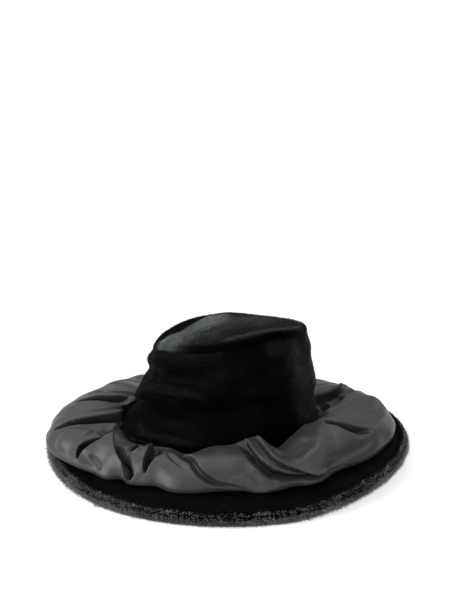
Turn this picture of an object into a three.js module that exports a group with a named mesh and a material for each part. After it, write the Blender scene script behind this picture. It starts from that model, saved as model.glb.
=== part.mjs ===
// A soft winter hat: a crumpled plush crown with an oval tip, a wide padded plush brim of two plies,
// and a puffed satin flounce that is gathered round the foot of the crown and lies on the brim.
// Millimetres, +Z up. The origin is on the floor under the centre of the brim, and the front of the
// hat faces -Y. Angles are in degrees about +Z from +X: 0 is the right side, 90 the back, 180 the
// left side and -90 the front.
import * as THREE from "three";

// Driving dimensions, in millimetres.
const crownLength = 200; // outside of the crown at its foot, along X
const crownDepth = 190; // the same along Y
const crownShift = -7; // the crown stands this far along X from the brim's centre
const crownHeight = 118; // from the brim to the seam of the tip, at its highest
const crownWall = 5; // plush cloth of the crown, with its pile
const crownFoldDepth = 6; // the deepest crumple in the crown's side
const tipWall = 5; // plush cloth of the tip, with its pile
const tipRise = 7; // how far the middle of the tip bulges over its seam
const tipFoldHeight = 10; // the tallest crease in the tip
const brimLength = 373; // outline of the brim along X
const brimDepth = 380; // the same along Y
const brimFootHeight = 26; // top of the brim where it meets the crown
const brimPly = 5; // each plush ply of the brim, with its pile
const brimWadding = 2.5; // soft filling between the plies at the edge
const brimRest = 20; // how far in from its outline the brim lies flat
const brimSideLift = 14; // how far the brim rises off the floor at its higher side
const edgeFold = 9; // width of the under ply's fold that shows on top, outside the seam
const satinWall = 1.6; // the flounce's doubled satin
const satinPuff = 30; // how high the flounce stands over the brim
const satinFoldHeight = 9; // the tallest fold in the flounce

// Clearances between neighbours, in millimetres.
const seamGap = 0.3; // pieces that are sewn face to face
const drapeGap = 0.6; // under the flounce, where it lies on the brim
const sleeveGap = 1.2; // between the crown's side and the flounce's gathered edge

// Fineness of the faceted surfaces.
const crownSteps = 48; // steps round the crown and its tip
const crownRows = 12; // rings up each face of the crown's side
const brimSteps = 48; // steps round the brim
const brimRows = 5; // points along each face of the upper ply's section
const satinSteps = 116; // steps round the flounce
const satinRows = 13; // points along each face of the flounce's section
const foldPoints = 15; // points along the curve of each fold
const slopeTurn = 1; // degrees to each side over which the flounce's slope is measured
const slopeShare = 0.01; // the same as a share of its section

// The crown's side from its foot to the seam of the tip. height is a share of the side's height,
// length and depth are shares of crownLength and crownDepth, and shift is a share of crownLength
// along X.
const crownSections = [
  { height: 0.0, length: 0.985, depth: 1.0, shift: 0.0 },
  { height: 0.12, length: 1.0, depth: 1.0, shift: -0.003 },
  { height: 0.25, length: 0.96, depth: 0.965, shift: 0.013 },
  { height: 0.4, length: 0.925, depth: 0.925, shift: 0.026 },
  { height: 0.55, length: 0.9, depth: 0.895, shift: 0.034 },
  { height: 0.7, length: 0.86, depth: 0.86, shift: 0.04 },
  { height: 0.87, length: 0.825, depth: 0.82, shift: 0.042 },
  { height: 1.0, length: 0.785, depth: 0.75, shift: 0.045 },
];

// Height of the tip's seam round the crown, as a share of crownHeight.
const crownRim = [
  { angle: -180, height: 0.76 },
  { angle: -150, height: 0.845 },
  { angle: -120, height: 0.885 },
  { angle: -90, height: 0.94 },
  { angle: -60, height: 1.0 },
  { angle: -30, height: 0.98 },
  { angle: 0, height: 0.93 },
  { angle: 30, height: 0.885 },
  { angle: 60, height: 0.86 },
  { angle: 90, height: 0.87 },
  { angle: 120, height: 0.855 },
  { angle: 150, height: 0.795 },
];

// Crumples in the crown's side. angle and height say where the middle of each is, with height a share
// of the side; halfAngle and halfHeight say how far it reaches, and slope how much its height changes
// over halfAngle; depth is a share of crownFoldDepth, below 0 for a dent.
const crownFolds = [
  { angle: -178, height: 0.09, halfAngle: 20, halfHeight: 0.05, slope: 0.0, depth: 0.3 },
  { angle: -145, height: 0.17, halfAngle: 34, halfHeight: 0.05, slope: 0.0, depth: 0.8 },
  { angle: -140, height: 0.36, halfAngle: 40, halfHeight: 0.07, slope: 0.02, depth: -0.7 },
  { angle: -172, height: 0.48, halfAngle: 22, halfHeight: 0.05, slope: 0.05, depth: 0.5 },
  { angle: -130, height: 0.61, halfAngle: 30, halfHeight: 0.05, slope: 0.0, depth: 0.8 },
  { angle: 178, height: 0.76, halfAngle: 20, halfHeight: 0.05, slope: 0.0, depth: -0.4 },
  { angle: -155, height: 0.78, halfAngle: 11, halfHeight: 0.045, slope: 0.0, depth: 0.5 },
  { angle: -172, height: 0.9, halfAngle: 30, halfHeight: 0.04, slope: 0.0, depth: 0.4 },
  { angle: -122, height: 0.74, halfAngle: 26, halfHeight: 0.06, slope: 0.03, depth: -0.5 },
  { angle: -90, height: 0.74, halfAngle: 16, halfHeight: 0.06, slope: 0.0, depth: 0.4 },
  { angle: -68, height: 0.59, halfAngle: 15, halfHeight: 0.05, slope: -0.03, depth: 0.5 },
  { angle: -84, height: 0.46, halfAngle: 34, halfHeight: 0.06, slope: -0.03, depth: -0.5 },
  { angle: -40, height: 0.86, halfAngle: 30, halfHeight: 0.06, slope: 0.02, depth: 0.4 },
  { angle: -30, height: 0.4, halfAngle: 24, halfHeight: 0.12, slope: 0.06, depth: -0.5 },
  { angle: 5, height: 0.5, halfAngle: 24, halfHeight: 0.07, slope: 0.0, depth: 0.3 },
  { angle: 40, height: 0.38, halfAngle: 40, halfHeight: 0.06, slope: 0.04, depth: -0.5 },
  { angle: 70, height: 0.6, halfAngle: 40, halfHeight: 0.06, slope: -0.05, depth: 0.6 },
  { angle: 115, height: 0.42, halfAngle: 38, halfHeight: 0.06, slope: 0.04, depth: -0.6 },
  { angle: 130, height: 0.7, halfAngle: 34, halfHeight: 0.05, slope: 0.03, depth: -0.5 },
];

// The crumples fade to nothing over this share of the side's height at its foot and at the seam.
const crownFoldFade = 0.125;

// Creases and bulges of the tip, each along a line from (x0, y0) to (x1, y1), as shares of the tip's
// half length and half depth. halfWidth is a share of the tip's half length, and depth a share of
// tipFoldHeight, below 0 for a hollow.
const tipFolds = [
  { x0: -0.8, y0: -0.4, x1: -0.15, y1: 0.7, halfWidth: 0.17, depth: 0.4 },
  { x0: -0.85, y0: 0.35, x1: -0.45, y1: 0.75, halfWidth: 0.3, depth: -0.6 },
  { x0: -0.15, y0: -0.5, x1: 0.45, y1: -0.3, halfWidth: 0.3, depth: -0.2 },
  { x0: 0.1, y0: 0.2, x1: 0.7, y1: 0.25, halfWidth: 0.35, depth: 0.15 },
];

// The creases fade to nothing over this share of the tip's bulge from its seam.
const tipFoldFade = 0.33;

// Rings of the tip from its middle out to its rounded seam. share is the share of the way out, and
// lift the height over its underside, as a share of tipWall.
const tipTopRings = [
  { share: 0.22, lift: 1.0 },
  { share: 0.44, lift: 1.0 },
  { share: 0.64, lift: 1.0 },
  { share: 0.8, lift: 1.0 },
  { share: 0.92, lift: 0.92 },
  { share: 0.98, lift: 0.6 },
  { share: 1.0, lift: 0.0 },
];
const tipUnderRings = [{ share: 0.8 }, { share: 0.55 }, { share: 0.3 }];

// The brim falls off from the crown to its outline with its width to this power.
const brimFall = 1.15;

// The outside of the brim's padded edge, from the floor round to the top, as shares of its thickness.
const brimTurn = [
  { inward: 0.35, rise: 0.0 },
  { inward: 0.08, rise: 0.16 },
  { inward: 0.0, rise: 0.5 },
  { inward: 0.12, rise: 0.84 },
  { inward: 0.4, rise: 1.0 },
];

// How far the brim rises off the floor round the hat, as a share of brimSideLift. It lies flat where
// this isn't above 0.
const brimRise = [
  { angle: -180, lift: 0.75 },
  { angle: -150, lift: 0.3 },
  { angle: -125, lift: 0.0 },
  { angle: -70, lift: 0.0 },
  { angle: -45, lift: 0.6 },
  { angle: -20, lift: 1.0 },
  { angle: 20, lift: 1.0 },
  { angle: 50, lift: 0.5 },
  { angle: 75, lift: 0.0 },
  { angle: 115, lift: 0.0 },
  { angle: 150, lift: 0.5 },
];

// The flounce round the crown: reach is how far out it comes, as a share of the brim's width there,
// and puff is its height as a share of satinPuff.
const satinRim = [
  { angle: -180, reach: 0.99, puff: 0.9 },
  { angle: -165, reach: 1.04, puff: 0.9 },
  { angle: -150, reach: 0.89, puff: 0.9 },
  { angle: -135, reach: 0.79, puff: 0.92 },
  { angle: -120, reach: 0.7, puff: 0.9 },
  { angle: -105, reach: 0.7, puff: 0.9 },
  { angle: -90, reach: 0.65, puff: 1.0 },
  { angle: -75, reach: 0.69, puff: 1.05 },
  { angle: -60, reach: 0.71, puff: 1.0 },
  { angle: -45, reach: 0.715, puff: 1.05 },
  { angle: -30, reach: 0.78, puff: 1.1 },
  { angle: -15, reach: 0.85, puff: 1.15 },
  { angle: 0, reach: 0.84, puff: 1.1 },
  { angle: 20, reach: 0.82, puff: 0.95 },
  { angle: 45, reach: 0.8, puff: 0.88 },
  { angle: 70, reach: 0.82, puff: 0.95 },
  { angle: 95, reach: 0.86, puff: 0.95 },
  { angle: 120, reach: 0.9, puff: 1.0 },
  { angle: 145, reach: 0.92, puff: 0.95 },
  { angle: 165, reach: 0.94, puff: 0.9 },
];

// The flounce's section, from its gathered edge at the crown over the top and round the outer turn to
// the hem tucked under it. along is the share of the way from edge to hem, across a share of its
// reach, and rise a share of its puff.
const satinSection = [
  { along: 0.0, across: 0.0, rise: 0.45 },
  { along: 0.08, across: 0.02, rise: 0.72 },
  { along: 0.18, across: 0.14, rise: 0.9 },
  { along: 0.3, across: 0.34, rise: 0.98 },
  { along: 0.42, across: 0.54, rise: 0.95 },
  { along: 0.54, across: 0.74, rise: 0.83 },
  { along: 0.65, across: 0.9, rise: 0.62 },
  { along: 0.74, across: 0.98, rise: 0.38 },
  { along: 0.8, across: 1.0, rise: 0.2 },
  { along: 0.86, across: 0.95, rise: 0.05 },
  { along: 1.0, across: 0.7, rise: 0.0 },
];

// Its folds grow from nothing between the first two of these shares along the section, and fade to
// nothing between the last two.
const satinFoldReach = { none: 0.06, whole: 0.2, fading: 0.62, gone: 0.8 };

// Folds of the flounce, each along a curve through three points: angles round the hat, and shares
// along the section. height is a share of satinFoldHeight, below 0 for a groove. before and after say
// how far it spreads towards smaller and larger angles, as shares of satinPuff: its steeper side is
// the narrower one.
const satinFolds = [
  { angle: [-180, -169, -167], along: [0.1, 0.36, 0.7], height: -1.0, before: 0.26, after: 0.2 },
  { angle: [173, 179, 175], along: [0.24, 0.42, 0.64], height: 0.55, before: 0.25, after: 0.3 },
  { angle: [157, 164, 170], along: [0.2, 0.36, 0.58], height: -0.75, before: 0.2, after: 0.22 },
  { angle: [146, 151, 157], along: [0.1, 0.26, 0.44], height: 0.5, before: 0.24, after: 0.2 },
  { angle: [-150, -156, -160], along: [0.34, 0.54, 0.7], height: 0.7, before: 0.3, after: 0.25 },
  { angle: [-145, -148, -147], along: [0.38, 0.54, 0.72], height: -0.9, before: 0.2, after: 0.18 },
  { angle: [-144, -139, -134], along: [0.36, 0.56, 0.74], height: 0.9, before: 0.2, after: 0.22 },
  { angle: [-139, -129, -125], along: [0.38, 0.58, 0.8], height: -0.8, before: 0.18, after: 0.2 },
  { angle: [-124, -122, -121], along: [0.26, 0.46, 0.68], height: 0.65, before: 0.2, after: 0.18 },
  { angle: [-118, -118, -118], along: [0.2, 0.42, 0.66], height: -0.9, before: 0.18, after: 0.18 },
  { angle: [-119, -113, -109], along: [0.66, 0.46, 0.24], height: 0.8, before: 0.18, after: 0.26 },
  { angle: [-110, -101, -90], along: [0.36, 0.56, 0.76], height: 0.5, before: 0.22, after: 0.2 },
  { angle: [-105, -95, -86], along: [0.3, 0.5, 0.68], height: -0.35, before: 0.2, after: 0.25 },
  { angle: [-94, -86, -76], along: [0.36, 0.52, 0.7], height: 0.35, before: 0.4, after: 0.4 },
  { angle: [-80, -75, -62], along: [0.3, 0.57, 0.74], height: -0.8, before: 0.25, after: 0.18 },
  { angle: [-75, -69, -54], along: [0.22, 0.55, 0.76], height: 0.65, before: 0.18, after: 0.2 },
  { angle: [-68, -61, -52], along: [0.56, 0.5, 0.5], height: -0.45, before: 0.3, after: 0.3 },
  { angle: [-58, -49, -40], along: [0.32, 0.42, 0.5], height: 0.4, before: 0.4, after: 0.4 },
  { angle: [-52, -42, -27], along: [0.8, 0.74, 0.7], height: -0.4, before: 0.2, after: 0.2 },
  { angle: [-32, -16, 6], along: [0.2, 0.26, 0.5], height: 0.7, before: 0.25, after: 0.25 },
  { angle: [-33, -27, -16], along: [0.3, 0.48, 0.58], height: -0.7, before: 0.25, after: 0.25 },
  { angle: [-30, -18, -4], along: [0.64, 0.62, 0.68], height: 0.45, before: 0.2, after: 0.2 },
  { angle: [-3, 5, 18], along: [0.14, 0.32, 0.46], height: -0.8, before: 0.2, after: 0.25 },
  { angle: [12, 16, 28], along: [0.16, 0.36, 0.6], height: 0.6, before: 0.2, after: 0.25 },
  { angle: [27, 33, 36], along: [0.14, 0.36, 0.66], height: -0.8, before: 0.2, after: 0.22 },
  { angle: [40, 44, 52], along: [0.2, 0.4, 0.62], height: 0.55, before: 0.28, after: 0.25 },
  { angle: [57, 60, 58], along: [0.14, 0.34, 0.62], height: -0.7, before: 0.2, after: 0.22 },
  { angle: [68, 73, 80], along: [0.2, 0.42, 0.68], height: 0.6, before: 0.3, after: 0.22 },
  { angle: [84, 86, 92], along: [0.12, 0.34, 0.6], height: -0.9, before: 0.2, after: 0.22 },
  { angle: [97, 101, 99], along: [0.22, 0.4, 0.66], height: 0.5, before: 0.25, after: 0.28 },
  { angle: [110, 113, 119], along: [0.12, 0.38, 0.68], height: -0.8, before: 0.22, after: 0.2 },
  { angle: [124, 128, 127], along: [0.2, 0.42, 0.66], height: 0.55, before: 0.25, after: 0.25 },
  { angle: [137, 139, 144], along: [0.14, 0.36, 0.62], height: -0.8, before: 0.2, after: 0.22 },
];

const lerp = THREE.MathUtils.lerp;
const radians = THREE.MathUtils.degToRad;

// Catmull-Rom value between p1 and p2.
function smoothBetween(p0, p1, p2, p3, t) {
  const b = p2 - p0;
  const c = 2 * p0 - 5 * p1 + 4 * p2 - p3;
  const d = 3 * (p1 - p2) + p3 - p0;
  return p1 + 0.5 * t * (b + t * (c + t * d));
}

// A column of a table whose rows go once round by angle, read smoothly at any angle in degrees.
function roundTable(rows, column, angle) {
  const first = rows[0].angle;
  const turned = first + ((((angle - first) % 360) + 360) % 360);
  const count = rows.length;
  let i = count - 1;
  while (rows[i].angle > turned) i -= 1;
  const from = rows[i].angle;
  const to = i + 1 < count ? rows[i + 1].angle : first + 360;
  const at = (k) => rows[(k + count) % count][column];
  return smoothBetween(at(i - 1), at(i), at(i + 1), at(i + 2), (turned - from) / (to - from));
}

// A column of a table with two ends, read smoothly at a value of its key column.
function endTable(rows, key, column, value) {
  const last = rows.length - 1;
  let i = 0;
  while (i < last - 1 && rows[i + 1][key] < value) i += 1;
  const at = (k) => rows[Math.min(Math.max(k, 0), last)][column];
  const t = (value - rows[i][key]) / (rows[i + 1][key] - rows[i][key]);
  return smoothBetween(at(i - 1), at(i), at(i + 1), at(i + 2), Math.min(Math.max(t, 0), 1));
}

// Degrees from one angle to another, the short way round.
function turnBetween(from, to) {
  return ((((to - from + 180) % 360) + 360) % 360) - 180;
}

// A round bump: 1 in the middle, about half at a distance of 1 and 0 from 2 on.
function bump(distance) {
  const d = Math.min(Math.abs(distance) / 2, 1);
  return (1 - d * d) ** 2;
}

function stepsRound(count) {
  return Array.from({ length: count }, (_, i) => (360 * i) / count - 180);
}

function sharesOf(count) {
  return Array.from({ length: count }, (_, i) => i / (count - 1));
}

function facetSolid(points, index) {
  const geometry = new THREE.BufferGeometry();
  const positions = points.flatMap((p) => [p.x, p.y, p.z]);
  geometry.setAttribute("position", new THREE.Float32BufferAttribute(positions, 3));
  geometry.setIndex(index);
  geometry.computeVertexNormals();
  return geometry;
}

// A closed ring from a closed loop of points at each step round.
function ringSolid(loops) {
  const around = loops.length;
  const along = loops[0].length;
  const at = (i, j) => (i % around) * along + (j % along);
  const index = [];
  for (let i = 0; i < around; i += 1) {
    for (let j = 0; j < along; j += 1) {
      const corners = [at(i, j), at(i + 1, j), at(i + 1, j + 1), at(i, j + 1)];
      index.push(corners[0], corners[1], corners[2], corners[0], corners[2], corners[3]);
    }
  }
  return facetSolid(loops.flat(), index);
}

// A closed lens from rings that run from the middle of its top, over its edge, to the middle of its
// underside.
function lensSolid(topMiddle, rings, underMiddle) {
  const around = rings[0].length;
  const points = [topMiddle, ...rings.flat(), underMiddle];
  const last = points.length - 1;
  const at = (ring, i) => 1 + ring * around + (i % around);
  const index = [];
  for (let i = 0; i < around; i += 1) {
    index.push(0, at(0, i), at(0, i + 1));
    for (let ring = 0; ring + 1 < rings.length; ring += 1) {
      const corners = [at(ring, i), at(ring + 1, i), at(ring + 1, i + 1), at(ring, i + 1)];
      index.push(corners[0], corners[1], corners[2], corners[0], corners[2], corners[3]);
    }
    index.push(last, at(rings.length - 1, i + 1), at(rings.length - 1, i));
  }
  return facetSolid(points, index);
}

// The brim

const brimEdge = 2 * brimPly + brimWadding;

function crownFoot(angle, inset = 0) {
  const turn = radians(angle);
  const x = crownShift + (crownLength / 2 - inset) * Math.cos(turn);
  return new THREE.Vector2(x, (crownDepth / 2 - inset) * Math.sin(turn));
}

function brimOutline(angle) {
  const turn = radians(angle);
  return new THREE.Vector2((brimLength / 2) * Math.cos(turn), (brimDepth / 2) * Math.sin(turn));
}

function brimWidth(angle) {
  return crownFoot(angle).distanceTo(brimOutline(angle));
}

function sideLift(angle) {
  return brimSideLift * Math.max(0, roundTable(brimRise, "lift", angle));
}

// Top of the brim at a share of its width, from the crown to its outline.
function brimTop(angle, share) {
  const fall = THREE.MathUtils.clamp(share, 0, 1) ** brimFall;
  return lerp(brimFootHeight, brimEdge + sideLift(angle), fall);
}

// A point over the brim at a distance from the crown's foot.
function overBrim(angle, distance, z) {
  const foot = crownFoot(angle);
  const outward = brimOutline(angle).sub(foot).normalize();
  return new THREE.Vector3(foot.x + outward.x * distance, foot.y + outward.y * distance, z);
}

// The under ply: its edge turns up and over to the seam on top of the brim.
function brimUnder() {
  const footTop = brimFootHeight - brimPly - seamGap;
  const loops = stepsRound(brimSteps).map((angle) => {
    const width = brimWidth(angle);
    const lift = sideLift(angle);
    const seam = width - edgeFold;
    const flat = width - brimRest;
    const half = flat / 2;
    const halfTop = lerp(footTop, lift + brimPly, 0.5 ** brimFall);
    const turn = brimTurn.map((row) => [width - row.inward * brimEdge, lift + row.rise * brimEdge]);
    const section = [
      [0, footTop - brimPly],
      [half, halfTop - brimPly],
      [flat, lift],
      ...turn,
      [seam, brimTop(angle, seam / width)],
      [seam, lift + brimPly],
      [flat, lift + brimPly],
      [half, halfTop],
      [0, footTop],
    ];
    const loop = section.map(([distance, z]) => overBrim(angle, distance, z));
    const inner = crownFoot(angle, crownWall);
    loop[0].set(inner.x, inner.y, footTop - brimPly);
    loop[loop.length - 1].set(inner.x, inner.y, footTop);
    return loop;
  });
  return ringSolid(loops);
}

// The upper ply: from under the crown's wall to the seam.
function brimUpper() {
  const loops = stepsRound(brimSteps).map((angle) => {
    const width = brimWidth(angle);
    const seam = width - edgeFold - seamGap;
    const top = (share) => brimTop(angle, (share * seam) / width);
    const shares = sharesOf(brimRows);
    const over = shares.map((share) => overBrim(angle, share * seam, top(share)));
    const under = shares.map((share) => overBrim(angle, share * seam, top(share) - brimPly));
    const inner = crownFoot(angle, crownWall);
    const innerTop = new THREE.Vector3(inner.x, inner.y, brimFootHeight);
    const innerUnder = new THREE.Vector3(inner.x, inner.y, brimFootHeight - brimPly);
    return [innerUnder, ...under, ...over.reverse(), innerTop];
  });
  return ringSolid(loops);
}

// The crown

const crownFootHeight = brimFootHeight + seamGap;

function crownFoldOut(angle, height) {
  return crownFolds.reduce((sum, fold) => {
    const turn = turnBetween(fold.angle, angle) / fold.halfAngle;
    const rise = (height - fold.height - fold.slope * turn) / fold.halfHeight;
    return sum + fold.depth * crownFoldDepth * bump(turn) * bump(rise);
  }, 0);
}

// A point on the outside of the crown's side, or inset from it, at a share of the side's height there.
function onCrown(angle, height, inset = 0) {
  const turn = radians(angle);
  const fade = Math.min(1, height / crownFoldFade, (1 - height) / crownFoldFade);
  const out = crownFoldOut(angle, height) * fade - inset;
  const halfLength = (crownLength / 2) * endTable(crownSections, "height", "length", height) + out;
  const halfDepth = (crownDepth / 2) * endTable(crownSections, "height", "depth", height) + out;
  const shift = crownShift + crownLength * endTable(crownSections, "height", "shift", height);
  const rim = crownHeight * roundTable(crownRim, "height", angle);
  return new THREE.Vector3(
    shift + halfLength * Math.cos(turn),
    halfDepth * Math.sin(turn),
    crownFootHeight + rim * height,
  );
}

function crownSide() {
  const heights = sharesOf(crownRows);
  const loops = stepsRound(crownSteps).map((angle) => {
    const outside = heights.map((height) => onCrown(angle, height));
    const inside = heights.map((height) => onCrown(angle, height, crownWall));
    return [...outside, ...inside.reverse()];
  });
  return ringSolid(loops);
}

// How far the tip bulges at a point given as shares of its half length and half depth.
function tipBulge(x, y) {
  const middle = Math.max(0, 1 - x * x - y * y);
  const creases = tipFolds.reduce((sum, fold) => {
    const line = new THREE.Line3(new THREE.Vector3(fold.x0, fold.y0), new THREE.Vector3(fold.x1, fold.y1));
    const point = new THREE.Vector3(x, y);
    const nearest = line.closestPointToPoint(point, true, new THREE.Vector3());
    return sum + fold.depth * bump(nearest.distanceTo(point) / fold.halfWidth);
  }, 0);
  return tipRise * middle + tipFoldHeight * creases * Math.min(1, middle / tipFoldFade);
}

function tipMiddle() {
  const rims = stepsRound(crownSteps).map((angle) => onCrown(angle, 1));
  const sum = rims.reduce((total, p) => total.add(p), new THREE.Vector3());
  return sum.divideScalar(rims.length);
}

// A point of the tip at a share of the way from its middle to its seam, lifted off its underside.
function onTip(angle, share, lift) {
  const turn = radians(angle);
  const bulge = tipBulge(share * Math.cos(turn), share * Math.sin(turn));
  const point = tipMiddle().lerp(onCrown(angle, 1), share);
  point.z += seamGap + bulge + lift;
  return point;
}

function crownTip() {
  const steps = stepsRound(crownSteps);
  const ring = (share, lift) => steps.map((angle) => onTip(angle, share, lift));
  const seat = steps.map((angle) => onCrown(angle, 1, crownWall).add(new THREE.Vector3(0, 0, seamGap)));
  const top = tipTopRings.map((row) => ring(row.share, row.lift * tipWall));
  const under = tipUnderRings.map((row) => ring(row.share, 0));
  return lensSolid(onTip(0, 0, tipWall), [...top, seat, ...under], onTip(0, 0, 0));
}

// The flounce

function onSatinBase(angle, along) {
  const out = roundTable(satinRim, "reach", angle) * endTable(satinSection, "along", "across", along);
  const puff = satinPuff * roundTable(satinRim, "puff", angle);
  const rise = puff * endTable(satinSection, "along", "rise", along);
  const z = brimTop(angle, out) + drapeGap + satinWall / 2 + rise;
  const rim = crownHeight * roundTable(crownRim, "height", angle);
  const height = THREE.MathUtils.clamp((z - crownFootHeight) / rim, 0, 1);
  const inner = onCrown(angle, height, -sleeveGap - satinWall / 2);
  const outer = brimOutline(angle);
  return new THREE.Vector3(lerp(inner.x, outer.x, out), lerp(inner.y, outer.y, out), z);
}

// Points along a fold's curve, as degrees round the hat and shares along the section.
function foldCurve(fold) {
  const through = ([start, middle, end]) => (t) => {
    const pull = 2 * middle - (start + end) / 2;
    return start * (1 - t) ** 2 + 2 * pull * t * (1 - t) + end * t * t;
  };
  const angleAt = through(fold.angle);
  const alongAt = through(fold.along);
  return sharesOf(foldPoints).map((t) => ({ t, angle: angleAt(t), along: alongAt(t) }));
}

const foldCurves = satinFolds.map((fold) => ({ fold, curve: foldCurve(fold) }));

// How far the folds push the flounce out of its base surface. radius and span, in millimetres, turn
// angles and shares along the section into distances there.
function satinFoldOut(angle, along, radius, span) {
  const { none, whole, fading, gone } = satinFoldReach;
  const opens = THREE.MathUtils.smoothstep(along, none, whole);
  const closes = 1 - THREE.MathUtils.smoothstep(along, fading, gone);
  const push = foldCurves.reduce((sum, { fold, curve }) => {
    const aways = curve.map((point) => {
      const round = radius * radians(turnBetween(point.angle, angle));
      const down = span * (along - point.along);
      return { t: point.t, round, distance: Math.hypot(round, down) };
    });
    const nearest = aways.reduce((best, away) => (away.distance < best.distance ? away : best));
    const spread = satinPuff * (nearest.round < 0 ? fold.before : fold.after);
    const taper = Math.sqrt(4 * nearest.t * (1 - nearest.t));
    return sum + fold.height * taper * bump(nearest.distance / spread);
  }, 0);
  return satinFoldHeight * opens * closes * push;
}

function sectionSpan(angle) {
  const points = sharesOf(satinRows).map((along) => onSatinBase(angle, along));
  return points.slice(1).reduce((sum, point, i) => sum + point.distanceTo(points[i]), 0);
}

// A point of the flounce, offset from the middle of its wall.
function onSatin(angle, along, offset, span) {
  const base = onSatinBase(angle, along);
  const before = onSatinBase(angle - slopeTurn, along);
  const after = onSatinBase(angle + slopeTurn, along);
  const above = onSatinBase(angle, Math.max(along - slopeShare, 0));
  const below = onSatinBase(angle, Math.min(along + slopeShare, 1));
  const round = after.sub(before);
  const down = below.sub(above);
  const outward = down.cross(round).normalize();
  const radius = Math.hypot(base.x - crownShift, base.y);
  return base.addScaledVector(outward, offset + satinFoldOut(angle, along, radius, span));
}

function satinFlounce() {
  const shares = sharesOf(satinRows);
  const loops = stepsRound(satinSteps).map((angle) => {
    const span = sectionSpan(angle);
    const outside = shares.map((along) => onSatin(angle, along, satinWall / 2, span));
    const inside = shares.map((along) => onSatin(angle, along, -satinWall / 2, span));
    return [...inside, ...outside.reverse()];
  });
  return ringSolid(loops);
}

// The hat

const plushLook = { color: 0x0b0b0c, roughness: 0.95, metalness: 0 };
const satinLook = { color: 0x2b2d30, roughness: 0.38, metalness: 0 };

function piece(name, geometry, look) {
  const mesh = new THREE.Mesh(geometry, new THREE.MeshStandardMaterial(look));
  mesh.name = name;
  return mesh;
}

const hat = new THREE.Group();
hat.add(piece("brim_under", brimUnder(), plushLook));
hat.add(piece("brim_upper", brimUpper(), plushLook));
hat.add(piece("crown_side", crownSide(), plushLook));
hat.add(piece("crown_tip", crownTip(), plushLook));
hat.add(piece("satin_flounce", satinFlounce(), satinLook));

export default hat;
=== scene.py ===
# A plush winter hat with a wide padded brim and a gathered satin flounce, dressed over its frame.
# Metres, +Z up, with the origin on the floor under the centre of the brim and the front facing -Y.
# Angles are in degrees about +Z from +X: 0 is the right side, 90 the back and -90 the front.
import math

import bmesh
import bpy
import numpy as np
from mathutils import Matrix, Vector


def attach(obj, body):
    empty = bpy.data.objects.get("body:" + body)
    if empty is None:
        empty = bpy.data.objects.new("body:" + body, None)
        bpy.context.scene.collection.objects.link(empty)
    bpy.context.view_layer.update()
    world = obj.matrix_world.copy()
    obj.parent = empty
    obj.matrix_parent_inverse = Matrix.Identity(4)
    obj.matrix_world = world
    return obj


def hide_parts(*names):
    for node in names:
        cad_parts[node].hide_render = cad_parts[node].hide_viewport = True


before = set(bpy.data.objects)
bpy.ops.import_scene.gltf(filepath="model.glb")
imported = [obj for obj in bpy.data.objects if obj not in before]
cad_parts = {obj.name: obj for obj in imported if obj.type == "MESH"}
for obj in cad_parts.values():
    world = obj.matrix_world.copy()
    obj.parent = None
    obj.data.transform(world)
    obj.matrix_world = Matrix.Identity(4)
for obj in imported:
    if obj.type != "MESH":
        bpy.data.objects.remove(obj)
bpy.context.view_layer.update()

MM = 0.001

# Driving sizes, as in the frame.
CROWN_LENGTH = 200 * MM
CROWN_DEPTH = 190 * MM
CROWN_SHIFT = -7 * MM
CROWN_HEIGHT = 118 * MM
CROWN_WALL = 5 * MM
CROWN_FOLD_DEPTH = 6 * MM
TIP_WALL = 5 * MM
TIP_RISE = 7 * MM
TIP_FOLD_HEIGHT = 10 * MM
BRIM_LENGTH = 373 * MM
BRIM_DEPTH = 380 * MM
BRIM_FOOT_HEIGHT = 26 * MM
BRIM_PLY = 5 * MM
BRIM_WADDING = 2.5 * MM
BRIM_EDGE = 2 * BRIM_PLY + BRIM_WADDING
BRIM_REST = 20 * MM
BRIM_SIDE_LIFT = 14 * MM
EDGE_FOLD = 9 * MM
SATIN_WALL = 1.6 * MM
SATIN_PUFF = 30 * MM
SEAM_GAP = 0.3 * MM
DRAPE_GAP = 0.6 * MM
SLEEVE_GAP = 1.2 * MM
BRIM_FALL = 1.15
CROWN_FOLD_FADE = 0.125
TIP_FOLD_FADE = 0.33
CROWN_FOOT_HEIGHT = BRIM_FOOT_HEIGHT + SEAM_GAP

# Mean sizes of the crown's side and tip, which turn places on them into distances.
CROWN_MEAN_RADIUS = 0.43 * CROWN_LENGTH
CROWN_MEAN_HEIGHT = 0.9 * CROWN_HEIGHT
TIP_HALF_LENGTH = 0.39 * CROWN_LENGTH
TIP_HALF_DEPTH = 0.38 * CROWN_DEPTH


def table(columns, *rows):
    """Rows with named columns, as one array for each column."""
    return {name: np.array(values, float) for name, values in zip(columns.split(), zip(*rows))}


# The crown's side from its foot to the seam of the tip, as shares of the crown's sizes.
CROWN_SECTIONS = table(
    "height length depth shift",
    (0.0, 0.985, 1.0, 0.0),
    (0.12, 1.0, 1.0, -0.003),
    (0.25, 0.96, 0.965, 0.013),
    (0.4, 0.925, 0.925, 0.026),
    (0.55, 0.9, 0.895, 0.034),
    (0.7, 0.86, 0.86, 0.04),
    (0.87, 0.825, 0.82, 0.042),
    (1.0, 0.785, 0.75, 0.045),
)

# Height of the tip's seam round the crown, as a share of the crown's height.
CROWN_RIM = table(
    "angle height",
    (-180, 0.76), (-150, 0.845), (-120, 0.885), (-90, 0.94), (-60, 1.0), (-30, 0.98), (0, 0.93),
    (30, 0.885), (60, 0.86), (90, 0.87), (120, 0.855), (150, 0.795),
)

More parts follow.
